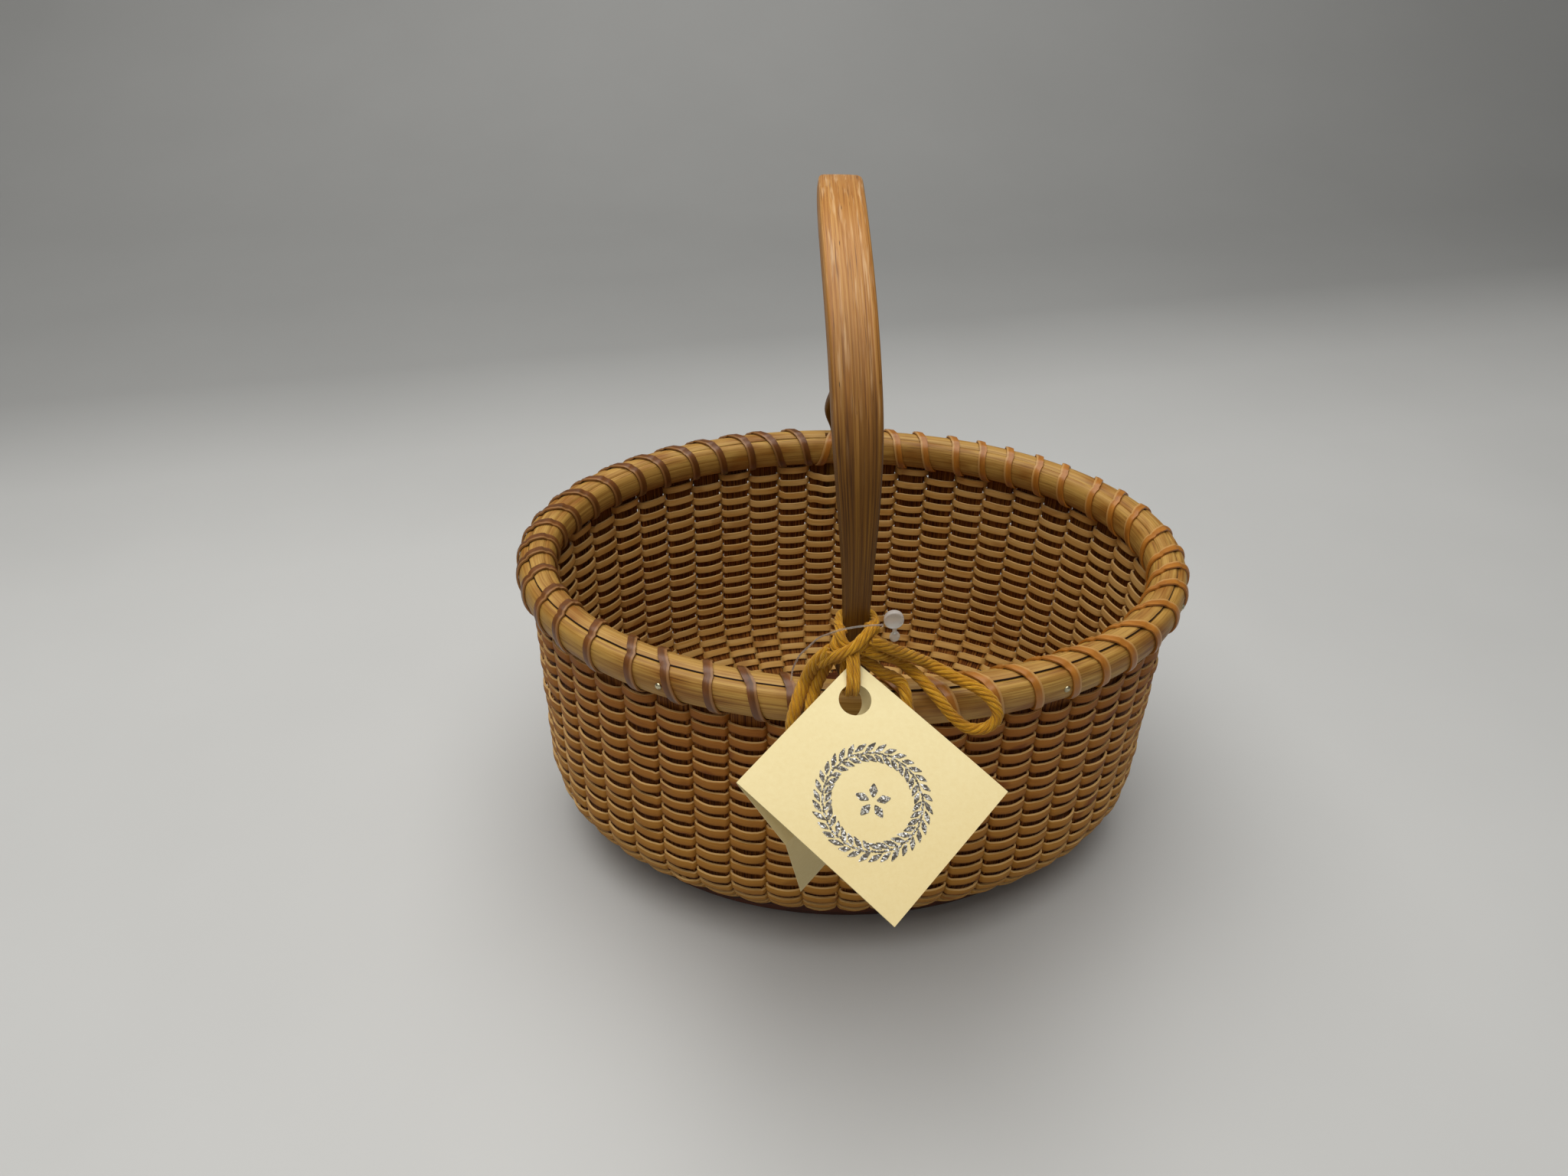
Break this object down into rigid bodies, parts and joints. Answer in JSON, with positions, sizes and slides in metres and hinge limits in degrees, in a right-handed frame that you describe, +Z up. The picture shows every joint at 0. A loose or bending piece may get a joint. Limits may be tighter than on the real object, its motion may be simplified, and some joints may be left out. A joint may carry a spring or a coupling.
{
  "type": "small handled basket",
  "caption": "Small oval basket woven of cane over wooden staves, with a lashed rim, a bent wooden handle and a card tag tied on with yarn.",
  "frame": {"origin": "middle of the base's flat underside", "axes": "+Z up, +X along the basket, and the handle arches over from the front (-Y) to the rear (+Y)"},
  "size_m": [0.2029, 0.2096, 0.209],
  "materials": {
    "base_wood": "dark reddish brown polished wood",
    "stave_wood": "dark brown wood with fine ribs",
    "cane": "woven cane, golden brown, paler towards the base",
    "hoop_wood": "straw brown bent wood with grain",
    "rim_cover": "pale flat cane",
    "lash_light": "orange brown glossy cane",
    "lash_dark": "dark reddish brown glossy cane",
    "handle_wood": "waxed orange tan wood",
    "tack_metal": "dull nickelled brass",
    "card": "cream card with a thin coat",
    "yarn": "mustard plied yarn",
    "clear_plastic": "clear soft plastic"
  },
  "bodies": {
    "basket": {"base": "base_wood", "woven_wall": "cane", "staves_01": "stave_wood", "staves_02": "stave_wood", "staves_03": "stave_wood", "staves_04": "stave_wood", "staves_05": "stave_wood", "staves_06": "stave_wood", "staves_07": "stave_wood", "staves_08": "stave_wood", "staves_09": "stave_wood", "staves_10": "stave_wood", "staves_11": "stave_wood", "staves_12": "stave_wood", "staves_13": "stave_wood", "staves_14": "stave_wood", "staves_15": "stave_wood", "staves_16": "stave_wood", "staves_17": "stave_wood", "staves_18": "stave_wood", "staves_19": "stave_wood", "staves_20": "stave_wood", "staves_21": "stave_wood", "staves_22": "stave_wood", "staves_23": "stave_wood", "staves_24": "stave_wood", "staves_25": "stave_wood", "inner_hoop": "hoop_wood", "outer_hoop": "hoop_wood", "rim_cover_left": "rim_cover", "rim_cover_right": "rim_cover", "lashing_light": "lash_light", "lashing_dark": "lash_dark", "handle": "handle_wood", "tack_1": "tack_metal", "tack_2": "tack_metal", "tack_3": "tack_metal", "tack_4": "tack_metal", "tack_5": "tack_metal", "tack_6": "tack_metal", "yarn_knot": "yarn", "yarn_wrap": "yarn", "yarn_bow_right": "yarn", "yarn_bow_left": "yarn", "yarn_tail_right": "yarn", "fastener_head": "clear_plastic", "fastener_filament": "clear_plastic"},
    "tag": {"tag_front_leaf": "card", "tag_tie": "yarn"},
    "tag_rear": {"tag_rear_leaf": "card"}
  },
  "joints": [
    {"name": "tag_swing", "type": "hinge", "parent": "basket", "child": "tag", "pos_m": [-0.007, -0.077, 0.124], "axis": [-1, 0, 0], "range_deg": [0, 60]},
    {"name": "tag_fold", "type": "hinge", "parent": "tag", "child": "tag_rear", "pos_m": [-0.00593, -0.0793, 0.11955], "axis": [-0.6743, -0.6622, -0.3267], "range_deg": [0, 33]}
  ]
}
